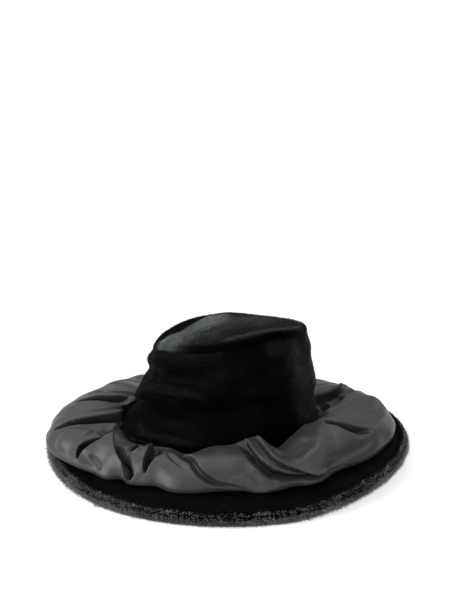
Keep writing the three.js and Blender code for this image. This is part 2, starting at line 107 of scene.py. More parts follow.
# Crumples in the crown's side, with depths as shares of CROWN_FOLD_DEPTH.
CROWN_FOLDS = table(
    "angle height half_angle half_height slope depth",
    (-178, 0.09, 20, 0.05, 0.0, 0.3),
    (-145, 0.17, 34, 0.05, 0.0, 0.8),
    (-140, 0.36, 40, 0.07, 0.02, -0.7),
    (-172, 0.48, 22, 0.05, 0.05, 0.5),
    (-130, 0.61, 30, 0.05, 0.0, 0.8),
    (178, 0.76, 20, 0.05, 0.0, -0.4),
    (-155, 0.78, 11, 0.045, 0.0, 0.5),
    (-172, 0.9, 30, 0.04, 0.0, 0.4),
    (-122, 0.74, 26, 0.06, 0.03, -0.5),
    (-90, 0.74, 16, 0.06, 0.0, 0.4),
    (-68, 0.59, 15, 0.05, -0.03, 0.5),
    (-84, 0.46, 34, 0.06, -0.03, -0.5),
    (-40, 0.86, 30, 0.06, 0.02, 0.4),
    (-30, 0.4, 24, 0.12, 0.06, -0.5),
    (5, 0.5, 24, 0.07, 0.0, 0.3),
    (40, 0.38, 40, 0.06, 0.04, -0.5),
    (70, 0.6, 40, 0.06, -0.05, 0.6),
    (115, 0.42, 38, 0.06, 0.04, -0.6),
    (130, 0.7, 34, 0.05, 0.03, -0.5),
)

# Creases and bulges of the tip along lines, as shares of its half sizes and of TIP_FOLD_HEIGHT.
TIP_FOLDS = table(
    "x0 y0 x1 y1 half_width depth",
    (-0.8, -0.4, -0.15, 0.7, 0.17, 0.4),
    (-0.85, 0.35, -0.45, 0.75, 0.3, -0.6),
    (-0.15, -0.5, 0.45, -0.3, 0.3, -0.2),
    (0.1, 0.2, 0.7, 0.25, 0.35, 0.15),
)

# The outside of the brim's padded edge, from the floor round to the top, as shares of BRIM_EDGE.
BRIM_TURN = table(
    "inward rise",
    (0.35, 0.0), (0.08, 0.16), (0.0, 0.5), (0.12, 0.84), (0.4, 1.0),
)

# How far the brim rises off the floor, as a share of BRIM_SIDE_LIFT.
BRIM_RISE = table(
    "angle lift",
    (-180, 0.75), (-150, 0.3), (-125, 0.0), (-70, 0.0), (-45, 0.6), (-20, 1.0), (20, 1.0), (50, 0.5),
    (75, 0.0), (115, 0.0), (150, 0.5),
)

# The flounce: reach as a share of the brim's width, and puff as a share of SATIN_PUFF.
SATIN_RIM = table(
    "angle reach puff",
    (-180, 0.99, 0.9), (-165, 1.04, 0.9), (-150, 0.89, 0.9), (-135, 0.79, 0.92), (-120, 0.7, 0.9),
    (-105, 0.7, 0.9), (-90, 0.65, 1.0), (-75, 0.69, 1.05), (-60, 0.71, 1.0), (-45, 0.715, 1.05),
    (-30, 0.78, 1.1), (-15, 0.85, 1.15), (0, 0.84, 1.1), (20, 0.82, 0.95), (45, 0.8, 0.88),
    (70, 0.82, 0.95), (95, 0.86, 0.95), (120, 0.9, 1.0), (145, 0.92, 0.95), (165, 0.94, 0.9),
)

# The flounce's section, from its gathered edge over the top and round to the hem tucked under it.
SATIN_SECTION = table(
    "along across rise",
    (0.0, 0.0, 0.45), (0.08, 0.02, 0.72), (0.18, 0.14, 0.9), (0.3, 0.34, 0.98), (0.42, 0.54, 0.95),
    (0.54, 0.74, 0.83), (0.65, 0.9, 0.62), (0.74, 0.98, 0.38), (0.8, 1.0, 0.2), (0.86, 0.95, 0.05),
    (1.0, 0.7, 0.0),
)

# How far the flounce's gathered side sinks between its pleats, in millimetres.
SATIN_SINK = table(
    "angle sink",
    (-180, 3), (-165, 8), (-152, 15), (-142, 15), (-130, 12), (-118, 9), (-108, 13), (-97, 5), (-85, 4),
    (-77, 0), (-72, 0), (-66, 9), (-60, 13), (-50, 6), (-38, 1), (-27, 3), (-14, 7), (0, 10), (12, 16),
    (20, 15), (28, 3), (36, 1), (45, 5), (60, 0), (75, 7), (90, 1), (106, 8), (122, 1), (136, 7),
    (150, 1), (165, 5),
)

# The sink fades out between two shares along the section, and leaves this share of the rise.
SINK_ENDS = (0.2, 0.55)
LEAST_RISE = 0.1

# How far the gathered edge drops, and the share along the section where the drop has ended.
EDGE_DROP = 5 * MM
EDGE_DROP_END = 0.07

# Waves of the flounce's hem, as shares of the brim's width.
SATIN_HEM = table(
    "angle reach",
    (-180, 0.0), (-150, 0.01), (-140, -0.01), (-134, 0.015), (-129.5, -0.05), (-125, 0.015),
    (-120, 0.0), (-115, -0.035), (-109, 0.02), (-101, 0.01), (-92, -0.01), (-84, -0.02), (-78, 0.025),
    (-72, 0.0), (-66, -0.03), (-57, 0.03), (-48, -0.025), (-40, -0.01), (-31, 0.02), (-20, 0.0),
    (0, 0.01), (40, -0.01), (60, 0.02), (85, -0.02), (105, 0.02), (130, -0.02), (150, 0.015),
)

# The waves grow between two shares along the section, and the hem is tucked under from another on.
HEM_WAVE_ENDS = (0.45, 0.8)
HEM_TUCK = 0.86


def smooth_between(p0, p1, p2, p3, t):
    """Catmull-Rom value between p1 and p2."""
    b = p2 - p0
    c = 2 * p0 - 5 * p1 + 4 * p2 - p3
    d = 3 * (p1 - p2) + p3 - p0
    return p1 + 0.5 * t * (b + t * (c + t * d))


def round_table(rows, column, angle):
    """A column of a table whose rows go once round by angle, read smoothly at angles in degrees."""
    angles = rows["angle"]
    values = rows[column]
    count = len(angles)
    turned = angles[0] + (np.asarray(angle, float) - angles[0]) % 360
    i = np.searchsorted(angles, turned, side="right") - 1
    start = angles[i]
    end = np.append(angles[1:], angles[0] + 360)[i]
    before, here, after, beyond = (values[(i + k) % count] for k in (-1, 0, 1, 2))
    return smooth_between(before, here, after, beyond, (turned - start) / (end - start))


def end_table(rows, key, column, value):
    """A column of a table with two ends, read smoothly at values of its key column."""
    keys = rows[key]
    values = rows[column]
    last = len(keys) - 1
    i = np.clip(np.searchsorted(keys, value, side="left") - 1, 0, last - 1)
    t = np.clip((value - keys[i]) / (keys[i + 1] - keys[i]), 0, 1)
    before, here, after, beyond = (values[np.clip(i + k, 0, last)] for k in (-1, 0, 1, 2))
    return smooth_between(before, here, after, beyond, t)


def turn_between(start, end):
    """Degrees from one angle to another, the short way round."""
    return (end - start + 180) % 360 - 180


def once_round(count):
    """Angles evenly spread once round."""
    return np.linspace(-180, 180, count + 1)[:-1]


def bump(distance):
    """A round bump: 1 in the middle, about half at a distance of 1 and 0 from 2 on."""
    d = np.minimum(np.abs(distance) / 2, 1)
    return (1 - d * d) ** 2


def smoothstep(value, low, high):
    t = np.clip((value - low) / (high - low), 0, 1)
    return t * t * (3 - 2 * t)


def unit(vectors):
    return vectors / np.maximum(np.linalg.norm(vectors, axis=-1, keepdims=True), 1e-12)


def ripple(points, wavelength, seed, waves=14):
    """A smooth random field of about -1 to 1 with features of one wavelength, the same each run."""
    rng = np.random.default_rng(seed)
    total = np.zeros(points.shape[:-1])
    for _ in range(waves):
        direction = unit(rng.normal(size=3))
        length = wavelength * rng.uniform(0.7, 1.5)
        total += np.sin(points @ direction * (2 * np.pi / length) + rng.uniform(0, 2 * np.pi))
    return total / math.sqrt(waves)


def lumps(points, seed, *sizes):
    """Random unevenness in metres, from heights and wavelengths in millimetres."""
    fields = [height * MM * ripple(points, length * MM, seed + i) for i, (height, length) in enumerate(sizes)]
    return sum(fields)


# The surfaces that the frame's solids follow


def crown_foot(angle, inset=0.0):
    turn = np.radians(angle)
    x = CROWN_SHIFT + (CROWN_LENGTH / 2 - inset) * np.cos(turn)
    return np.stack([x, (CROWN_DEPTH / 2 - inset) * np.sin(turn)], axis=-1)


def brim_outline(angle):
    turn = np.radians(angle)
    return np.stack([BRIM_LENGTH / 2 * np.cos(turn), BRIM_DEPTH / 2 * np.sin(turn)], axis=-1)


def brim_width(angle):
    return np.linalg.norm(brim_outline(angle) - crown_foot(angle), axis=-1)


def side_lift(angle):
    return BRIM_SIDE_LIFT * np.maximum(0, round_table(BRIM_RISE, "lift", angle))


def brim_top(angle, share):
    """Height of the brim's top at a share of its width, from the crown to its outline."""
    fall = np.clip(share, 0, 1) ** BRIM_FALL
    return BRIM_FOOT_HEIGHT + (BRIM_EDGE + side_lift(angle) - BRIM_FOOT_HEIGHT) * fall


def over_brim(angle, distance, z):
    """Points over the brim at distances from the crown's foot."""
    foot = crown_foot(angle)
    outward = unit(brim_outline(angle) - foot)
    plan = foot + outward * np.asarray(distance)[..., None]
    return np.concatenate([plan, np.broadcast_to(z, plan.shape[:-1])[..., None]], axis=-1)


def crown_fold_out(angle, height):
    total = np.zeros(np.shape(angle))
    folds = CROWN_FOLDS
    for i in range(len(folds["angle"])):
        turn = turn_between(folds["angle"][i], angle) / folds["half_angle"][i]
        rise = (height - folds["height"][i] - folds["slope"][i] * turn) / folds["half_height"][i]
        total = total + folds["depth"][i] * CROWN_FOLD_DEPTH * bump(turn) * bump(rise)
    return total


def on_crown(angle, height, inset=0.0):
    """Points on the outside of the crown's side, or inset from it, at shares of its height."""
    turn = np.radians(angle)
    fade = np.clip(np.minimum(height, 1 - height) / CROWN_FOLD_FADE, 0, 1)
    out = crown_fold_out(angle, height) * fade - inset
    half_length = CROWN_LENGTH / 2 * end_table(CROWN_SECTIONS, "height", "length", height) + out
    half_depth = CROWN_DEPTH / 2 * end_table(CROWN_SECTIONS, "height", "depth", height) + out
    shift = CROWN_SHIFT + CROWN_LENGTH * end_table(CROWN_SECTIONS, "height", "shift", height)
    rim = CROWN_HEIGHT * round_table(CROWN_RIM, "height", angle)
    x = shift + half_length * np.cos(turn)
    return np.stack([x, half_depth * np.sin(turn), CROWN_FOOT_HEIGHT + rim * height], axis=-1)


def tip_bulge(x, y):
    """How far the tip bulges at points given as shares of its half length and half depth."""
    middle = np.maximum(0, 1 - x * x - y * y)
    creases = np.zeros(np.shape(x))
    folds = TIP_FOLDS
    for i in range(len(folds["x0"])):
        start = np.array([folds["x0"][i], folds["y0"][i]])
        line = np.array([folds["x1"][i], folds["y1"][i]]) - start
        offset = np.stack([x, y], axis=-1) - start
        t = np.clip(offset @ line / (line @ line), 0, 1)
        away = np.linalg.norm(offset - t[..., None] * line, axis=-1)
        creases = creases + folds["depth"][i] * bump(away / folds["half_width"][i])
    return TIP_RISE * middle + TIP_FOLD_HEIGHT * creases * np.minimum(1, middle / TIP_FOLD_FADE)


TIP_MIDDLE = on_crown(once_round(48), np.ones(48)).mean(axis=0)


def on_tip(angle, share, lift):
    """Points of the tip at shares of the way from its middle to its seam."""
    turn = np.radians(angle)
    bulge = tip_bulge(share * np.cos(turn), share * np.sin(turn))
    rim = on_crown(angle, np.ones(np.shape(angle)))
    points = TIP_MIDDLE + (rim - TIP_MIDDLE) * np.asarray(share)[..., None]
    points[..., 2] += SEAM_GAP + bulge + lift
    return points


def on_satin_base(angle, along):
    wave = round_table(SATIN_HEM, "reach", angle) * smoothstep(along, *HEM_WAVE_ENDS)
    reach = round_table(SATIN_RIM, "reach", angle) + wave
    out = reach * end_table(SATIN_SECTION, "along", "across", along)
    puff = SATIN_PUFF * round_table(SATIN_RIM, "puff", angle)
    rise = puff * end_table(SATIN_SECTION, "along", "rise", along)
    sink = round_table(SATIN_SINK, "sink", angle) * MM * (1 - smoothstep(along, *SINK_ENDS))
    rise = np.where(along < SINK_ENDS[1], np.maximum(rise - sink, rise * LEAST_RISE), rise)
    z = brim_top(angle, out) + DRAPE_GAP + SATIN_WALL / 2 + rise
    rim = CROWN_HEIGHT * round_table(CROWN_RIM, "height", angle)
    height = np.clip((z - CROWN_FOOT_HEIGHT) / rim, 0, 1)
    inner = on_crown(angle, height, -SLEEVE_GAP - SATIN_WALL / 2)
    outer = brim_outline(angle)
    plan = inner[..., :2] + (outer - inner[..., :2]) * out[..., None]
    return np.concatenate([plan, z[..., None]], axis=-1)


# Folds drawn along curves on a surface

# How much a crest is rounded, how fast a sharp one falls off, and where a dip is reached after it.
CREST_ROUNDING = 0.02
CREST_POWER = 2.2
DIP_START = 0.7

# How many widths a fold reaches, and how its ends narrow and sink.
FOLD_REACH = 2.1
FOLD_END_WIDTH = 0.55
FOLD_END_POWER = 0.6


def curve_through(points, count=41):
    """Points evenly spread in parameter along a smooth curve through the given ones."""
    p = np.array(points, float)
    p[:, 0] = p[0, 0] + turn_between(p[0, 0], p[:, 0])
    ends = np.concatenate([2 * p[:1] - p[1:2], p, 2 * p[-1:] - p[-2:-1]])
    at = np.linspace(0, len(p) - 1, count)
    i = np.minimum(at.astype(int), len(p) - 2)
    t = (at - i)[:, None]
    return smooth_between(ends[i], ends[i + 1], ends[i + 2], ends[i + 3], t)


def fold_profile(across, before, after, crease, dip):
    """Height across a fold: 1 on its crest and 0 at twice before and after it.

    crease is 0 for a round crest and 1 for a sharp one. With a dip the cloth falls off steeply
    after the crest, to that many times its height below the surface, and comes up again."""
    u = np.abs(across) / np.where(across < 0, before, after)
    v = np.sqrt(u * u + CREST_ROUNDING) - math.sqrt(CREST_ROUNDING)
    sharp = np.maximum(0, 1 - v / 2) ** CREST_POWER
    shape = bump(v) * (1 - crease) + sharp * crease
    fall = 1 - (1 + dip) * smoothstep(u, 0, DIP_START)
    back = -dip * (1 - smoothstep(u, 1, 2))
    return np.where((across > 0) & (dip > 0), np.where(u < 1, fall, back), shape)


def push_folds(angle, along, radius, span, folds):
    """What the folds add at each point: out of the surface, round it and down it, in metres."""
    out, round_way, down_way = (np.zeros(angle.shape) for _ in range(3))
    for fold in folds:
        curve = curve_through(fold["points"])
        reach = FOLD_REACH * MM * max(fold["before"], fold["after"]) * max(fold["widths"])
        low, high = curve[:, 1].min(), curve[:, 1].max()
        middle = (curve[:, 0].min() + curve[:, 0].max()) / 2
        half = np.ptp(curve[:, 0]) / 2 + np.degrees(reach / radius.min())
        near = np.abs(turn_between(middle, angle)) < half
        near &= (along > low - reach / span.min()) & (along < high + reach / span.min())
        if not near.any():
            continue
        a, t, r, s = angle[near], along[near], radius[near], span[near]
        rounds = r[:, None] * np.radians(turn_between(curve[None, :, 0], a[:, None]))
        downs = s[:, None] * (t[:, None] - curve[None, :, 1])
        best = np.argmin(rounds**2 + downs**2, axis=1)
        pick = np.arange(len(a))
        ahead = np.gradient(curve, axis=0)[best]
        way = unit(np.stack([r * np.radians(ahead[:, 0]), s * ahead[:, 1]], axis=-1))
        x, y = rounds[pick, best], downs[pick, best]
        across = x * way[:, 1] - y * way[:, 0]
        beyond = np.abs(x * way[:, 0] + y * way[:, 1])
        share = best / (len(curve) - 1)
        start, end = fold["ends"]
        taper = smoothstep(share, 0, start) * smoothstep(1 - share, 0, end)
        first, last = fold["widths"]
        narrowed = FOLD_END_WIDTH + (1 - FOLD_END_WIDTH) * taper
        width = (first + (last - first) * share) * narrowed * MM
        distance = np.sign(across) * np.hypot(across, beyond)
        before, after = fold["before"] * width, fold["after"] * width
        profile = fold_profile(distance, before, after, fold["crease"], fold["dip"])
        shape = taper**FOLD_END_POWER * profile
        out[near] += fold["height"] * MM * shape
        round_way[near] += fold["lean"] * MM * shape * way[:, 1]
        down_way[near] -= fold["lean"] * MM * shape * way[:, 0]
    return out, round_way, down_way


def fold(points, height, before, after, lean=0.0, crease=0.5, dip=0.0, ends=(0.25, 0.25), widths=(1, 1)):
    """A fold along a curve of (angle, share along) points; the sizes are in millimetres."""
    keys = ("points", "height", "before", "after", "lean", "crease", "dip", "ends", "widths")
    return dict(zip(keys, (points, height, before, after, lean, crease, dip, ends, widths)))


# Folds of the flounce that the photograph shows, from the left side round the front to the right.
# After a fold's crest is the side of larger angles, where its curve runs down from the crown.
SATIN_FOLDS = [
    # left side
    fold([(-178, 0.06), (-173, 0.25), (-169.5, 0.42), (-168, 0.56), (-170, 0.7)], 3.5, 9, 7,
         lean=2.0, dip=3.2, ends=(0.05, 0.5), widths=(1.3, 0.45)),
    fold([(157, 0.18), (162, 0.3), (166, 0.42), (171, 0.56)], 4.5, 8, 6,
         lean=1.8, dip=3.6, ends=(0.35, 0.4)),
    fold([(158, 0.08), (167, 0.12), (177, 0.2)], 3, 4, 4, lean=1.2, dip=2.6, ends=(0.2, 0.4)),
    fold([(151, 0.12), (154, 0.3), (155, 0.54)], 2.5, 8, 3, lean=0.8, dip=1.5, ends=(0.1, 0.4)),
    fold([(176, 0.1), (-178, 0.28), (-177, 0.46)], 1.8, 4, 2.5, lean=0.6, dip=1.0, ends=(0.2, 0.4)),
    fold([(-168, 0.1), (-160, 0.21), (-159, 0.36)], 1.8, 4, 3, crease=0.7),
    fold([(-150, 0.34), (-155, 0.52), (-161, 0.7)], 4.5, 10, 9, crease=0.0),
    fold([(-160, 0.36), (-153, 0.46), (-151, 0.57)], -1.8, 1.6, 1.8, crease=0.8),
    fold([(-160, 0.57), (-157, 0.54), (-154, 0.5)], -1.6, 3, 3, crease=0.2),
    fold([(-146, 0.42), (-148.5, 0.52), (-150.5, 0.61), (-148.5, 0.73)], 4, 6, 6,
         lean=2.4, dip=3.2, ends=(0.12, 0.25)),
    fold([(-142.5, 0.41), (-144, 0.52), (-145, 0.61), (-147.5, 0.74)], 6.5, 3, 12,
         crease=0.7, ends=(0.06, 0.3)),
    fold([(-142.5, 0.41), (-138, 0.49), (-132, 0.59), (-128, 0.7), (-125.5, 0.8)], 5, 8, 6,
         lean=1.6, dip=2.8, ends=(0.05, 0.12)),
    fold([(-143, 0.65), (-139.5, 0.69), (-136.5, 0.75)], -2.5, 2, 3, crease=0.6),
    # between the flap and the arch
    fold([(-136, 0.2), (-131, 0.38), (-133, 0.5)], 2.6, 4, 4.5, lean=0.6, dip=1.4, ends=(0.2, 0.3)),
    fold([(-125, 0.4), (-129, 0.45), (-132, 0.52)], 2, 3, 3.5, lean=0.3, dip=1.0, ends=(0.3, 0.3)),
    fold([(-127, 0.18), (-123.5, 0.42), (-121.5, 0.56), (-120, 0.69)], 4.5, 5, 6,
         lean=1.2, dip=3.2, ends=(0.05, 0.3), widths=(1.6, 0.6)),
    fold([(-119, 0.68), (-116.5, 0.52), (-113, 0.38), (-109, 0.3)], 4, 10, 6, dip=2.0, ends=(0.3, 0.3)),
    fold([(-84, 0.79), (-92, 0.72), (-97.5, 0.62), (-102, 0.48), (-108, 0.34)], 3.5, 9, 4,
         lean=1.0, dip=1.8, ends=(0.4, 0.1)),
    fold([(-114, 0.44), (-108, 0.52), (-104, 0.6)], -1.8, 2, 3, crease=0.6),
    # middle
    fold([(-99, 0.3), (-92, 0.54), (-83, 0.7)], 3.5, 14, 14, crease=0.0),
    fold([(-44, 0.78), (-54, 0.745), (-62, 0.705), (-69, 0.665), (-74, 0.59), (-77.5, 0.46), (-79, 0.2)],
         3.8, 3.5, 6, lean=2.0, dip=3.6, ends=(0.25, 0.04), widths=(0.6, 1.1)),
    fold([(-47, 0.84), (-55, 0.765), (-62, 0.675), (-69, 0.58), (-72.3, 0.45), (-73.5, 0.2)], 3, 4, 2.2,
         lean=1.4, dip=1.6, ends=(0.3, 0.04)),
    fold([(-82, 0.8), (-77, 0.72), (-71, 0.69)], -3, 6, 6, crease=0.0),
    fold([(-70, 0.5), (-63, 0.45), (-55, 0.42), (-49, 0.42)], -4.5, 8, 8, crease=0.0),
    # right side
    fold([(-61, 0.28), (-52, 0.4), (-43, 0.54)], 3, 12, 12, crease=0.0),
    fold([(-54, 0.79), (-50, 0.74), (-44, 0.71), (-36, 0.69), (-27, 0.68)], -3, 3, 5),
    fold([(-24, 0.62), (-28.5, 0.5), (-31, 0.38), (-32, 0.27)], 3.5, 9, 6,
         lean=1.8, dip=2.8, ends=(0.35, 0.2)),
    fold([(-42, 0.14), (-37, 0.25), (-36, 0.38), (-35, 0.52), (-31, 0.64)], 3, 10, 2.5, crease=0.3),
    fold([(-46, 0.1), (-42, 0.16), (-37, 0.18)], 1.5, 1.5, 1.5, crease=0.6),
    fold([(-12, 0.08), (-6, 0.21), (-2, 0.35), (1, 0.45), (3, 0.54), (2, 0.68)], 5.5, 12, 5,
         lean=0.8, dip=2.2, ends=(0.15, 0.2), widths=(0.8, 1.2)),
    fold([(-12, 0.2), (-7, 0.34), (-3, 0.46)], -1.2, 1, 1.2, crease=0.8),
    fold([(-29, 0.63), (-16, 0.61), (-3, 0.62)], 2, 4, 4, crease=0.6),
    fold([(33, 0.62), (28, 0.48), (26, 0.35), (27, 0.2), (30, 0.08)], 3, 8, 13,
         lean=1.0, dip=3.0, ends=(0.5, 0.3)),
    fold([(30, 0.46), (22, 0.43), (12, 0.39)], 2.5, 3.5, 3.5, ends=(0.3, 0.3)),
    fold([(8, 0.09), (16, 0.12), (19, 0.17), (14, 0.215), (5, 0.22)], 9, 3, 2.6,
         crease=0.2, ends=(0.15, 0.15)),
]

# Gathers round the back, where the photograph doesn't reach.
BACK_FOLDS = [
    fold([(46, 0.14), (47, 0.3), (53, 0.6)], 2, 8, 7, dip=0.6, ends=(0.3, 0.5)),
    fold([(64, 0.7), (60, 0.36), (58, 0.06)], 4, 10, 9,
         lean=0.6, dip=0.8, ends=(0.6, 0.05), widths=(0.7, 1.2)),
    fold([(70, 0.1), (74, 0.3), (71, 0.5)], 2.5, 6, 6, dip=0.4, ends=(0.1, 0.6)),
    fold([(82, 0.06), (86, 0.34), (94, 0.66)], 4.5, 11, 9,
         lean=0.6, dip=0.9, ends=(0.05, 0.6), widths=(1.3, 0.7)),
    fold([(98, 0.08), (102, 0.34), (99, 0.6)], 2.5, 7, 7, dip=0.4, ends=(0.1, 0.6)),
    fold([(120, 0.68), (113, 0.4), (111, 0.06)], 4, 10, 9,
         lean=0.6, dip=0.8, ends=(0.6, 0.05), widths=(0.7, 1.2)),
    fold([(124, 0.1), (127, 0.3), (125, 0.52)], 2.5, 7, 6, dip=0.4, ends=(0.1, 0.6)),
    fold([(136, 0.06), (139, 0.36), (144, 0.64)], 4, 10, 8,
         lean=0.6, dip=0.8, ends=(0.05, 0.6), widths=(1.2, 0.7)),
]

# Finer crumples of the crown's side, as curves of (angle, share of the height).
CROWN_CREASES = [
    fold([(-178, 0.1), (-158, 0.1), (-135, 0.19), (-110, 0.14)], 2.5, 7, 5, crease=0.4),
    fold([(-180, 0.16), (-155, 0.2), (-128, 0.28), (-100, 0.24)], -2.5, 7, 7, crease=0.0),
    fold([(-180, 0.47), (-160, 0.54), (-130, 0.62), (-100, 0.58)], 2, 9, 6, crease=0.2),
    fold([(-176, 0.68), (-160, 0.7), (-142, 0.68)], -1.5, 6, 6, crease=0.2),
    fold([(-98, 0.8), (-84, 0.74), (-66, 0.64), (-48, 0.58)], 1.8, 9, 9, crease=0.0),
    fold([(20, 0.75), (45, 0.66), (70, 0.68), (95, 0.6)], 2, 8, 6, crease=0.3),
    fold([(60, 0.4), (85, 0.46), (115, 0.42)], -2, 8, 8, crease=0.2),
    fold([(105, 0.72), (130, 0.66), (155, 0.68)], 2, 8, 6, crease=0.3),
    fold([(130, 0.34), (150, 0.4), (172, 0.36)], 2, 8, 6, crease=0.3),
]

# Where the plush is painted lighter, as painted sheen and highlights: a curve, its half width in millimetres
# and how light.
# The crown's curves are (angle, share of the height), the tip's are shares of its half sizes.
CROWN_PAINTED_SHEEN = [
    ([(-160, 0.57), (-140, 0.64), (-122, 0.64), (-112, 0.62), (-103, 0.56)], 3.5, 0.03),
    ([(-154, 0.24), (-138, 0.2), (-124, 0.21), (-114, 0.19), (-106, 0.16)], 2.5, 0.045),
    ([(-166, 0.8), (-154, 0.79), (-143, 0.77)], 5, 0.04),
    ([(-150, 0.95), (-125, 0.97), (-98, 0.97)], 5, 0.03),
    ([(-103, 0.83), (-92, 0.81), (-83, 0.79)], 7, 0.008),
    ([(-77, 0.63), (-68, 0.6), (-59, 0.57)], 6, 0.008),
    ([(-61, 0.76), (-52, 0.73), (-45, 0.69)], 7, 0.016),
    ([(-88, 0.52), (-76, 0.49), (-68, 0.41)], 1.2, 0.018),
    ([(-60, 0.93), (-36, 0.9), (-15, 0.87)], 7, 0.07),
    ([(-36, 0.84), (-31, 0.6), (-26, 0.35), (-16, 0.1)], 18, 0.19),
    ([(-8, 0.84), (-4, 0.5), (2, 0.2)], 16, 0.28),
    ([(140, 0.3), (110, 0.5), (70, 0.4), (30, 0.6)], 12, 0.1),
]
TIP_PAINTED_SHEEN = [
    ([(-0.84, -0.42), (-0.68, 0.02), (-0.45, 0.3), (-0.1, 0.42)], 8, 1.3),
    ([(-0.75, -0.5), (-0.5, -0.1), (-0.2, 0.2)], 19, 1.0),
    ([(-0.4, -0.4), (-0.1, -0.1), (0.3, 0.1)], 24, 0.24),
    ([(-0.02, -0.8), (0.3, -0.72), (0.6, -0.62), (0.88, -0.36)], 6, 0.28),
]


def painted_sheen_from_strokes(first, second, scales, strokes):
    """How much painted sheen lightens places, from strokes along curves; scales make the places metres."""
    light = np.zeros(first.shape)
    for points, width, strength in strokes:
        nearest = np.full(first.shape, np.inf)
        for a, b in curve_through(points, count=25):
            nearest = np.minimum(nearest, np.hypot((first - a) * scales[0], (second - b) * scales[1]))
        light = np.maximum(light, strength * bump(nearest / (width * MM)) ** 2)
    return light


def uneven(painted_sheen, points, change, wavelength, seed):
    """A painted sheen that changes a little from place to place; the wavelength is in millimetres."""
    return painted_sheen * (1 + change * ripple(points, wavelength * MM, seed)).clip(0)


# Meshes

# Where the grids of points lie: angles round the hat, and shares up, across or along each piece.
CROWN_ANGLES = once_round(400)
CROWN_HEIGHTS = np.linspace(0, 1, 72)
CROWN_INSIDE_HEIGHTS = np.linspace(1, 0, 8)
TIP_ANGLES = once_round(320)
TIP_ROLL_START = 0.94
TIP_SHARES = np.concatenate([np.linspace(0, TIP_ROLL_START, 38), np.linspace(0.95, 1, 7)])
TIP_UNDER_SHARES = np.array([0.9, 0.6, 0.3, 0.0])
BRIM_ANGLES = once_round(420)
BRIM_SHARES = np.linspace(0, 1, 32)
BRIM_UNDER_STEP = 4
BRIM_LOOP_STEPS = 6
SATIN_COLUMNS = 780
SATIN_ROWS = np.concatenate([np.linspace(0, HEM_TUCK, 117), np.linspace(HEM_TUCK, 1, 11)[1:]])
SAME_PLACE = 0.001 * MM


def grid_faces(rows, columns, round_columns, flip):
    """Faces of a grid of points, whose rows join up and whose columns may."""
    i = np.arange(rows)[:, None]
    j = np.arange(columns if round_columns else columns - 1)[None, :]
    i2 = (i + 1) % rows
    j2 = (j + 1) % columns
    corners = [i * columns + j, i2 * columns + j, i2 * columns + j2, i * columns + j2]
    if flip:
        corners.reverse()
    return np.stack(corners, axis=-1).reshape(-1, 4)


def add_object(name, data):
    thing = bpy.data.objects.new(name, data)
    bpy.context.scene.collection.objects.link(thing)
    return thing


def add_piece(name, points, faces, node=None, painted_sheen=None):
    """A smooth mesh object that rides on the hat, and stands for a node if one is given."""
    mesh = bpy.data.meshes.new(name)
    mesh.from_pydata(points.reshape(-1, 3).tolist(), [], faces.tolist())
    mesh.shade_smooth()
    if painted_sheen is not None:
        mesh.attributes.new("painted_sheen", "FLOAT", "POINT").data.foreach_set("value", painted_sheen.ravel())
    mesh.update()
    piece = add_object(name, mesh)
    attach(piece, "root")
    if node:
        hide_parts(node)
    return piece


def add_cloth(name, points, node, round_columns=True, flip=False, painted_sheen=None):
    """A piece made of a grid of points, with painted sheen on its first columns and none beyond them."""
    if painted_sheen is not None:
        painted_sheen = np.pad(painted_sheen, ((0, 0), (0, points.shape[1] - painted_sheen.shape[1])))
    return add_piece(name, points, grid_faces(*points.shape[:2], round_columns, flip), node, painted_sheen)


def close_middles(piece):
    """Join the points of a piece that lie on each other, as at the middle of a round."""
    shape = bmesh.new()
    shape.from_mesh(piece.data)
    bmesh.ops.remove_doubles(shape, verts=shape.verts, dist=SAME_PLACE)
    shape.to_mesh(piece.data)
    shape.free()


def smooth_loop(points, between):
    """Closed loops along the second axis, with more points smoothly between the given ones."""
    steps = np.arange(between)[None, None, :, None] / between
    p0, p1, p2, p3 = (np.roll(points, k, axis=1)[:, :, None, :] for k in (1, 0, -1, -2))
    finer = smooth_between(p0, p1, p2, p3, steps)
    return finer.reshape(points.shape[0], -1, points.shape[2])


def grid_ways(points):
    """The unit ways round and along a grid of points, whose rows join up."""
    around = np.roll(points, -1, axis=0) - np.roll(points, 1, axis=0)
    return unit(around), unit(np.gradient(points, axis=1))


# The plush

# Creases and lumps fade out at the seams, over this share of the crown's height or the tip's radius.
SEAM_FADE = 0.1

# How far the crown's side rolls in at the tip's seam, and over what share of its height.
RIM_ROLL = 1.6 * MM
RIM_ROLL_SHARE = 0.04

# How far the brim's plies drop at their seam, and where the upper one's drop and lumps begin.
UNDER_SEAM_DROP = 1.2 * MM
UPPER_SEAM_DROP = 1.0 * MM
UPPER_DROP_START = 0.96
UPPER_LUMPS_START = (0.2, 0.4)


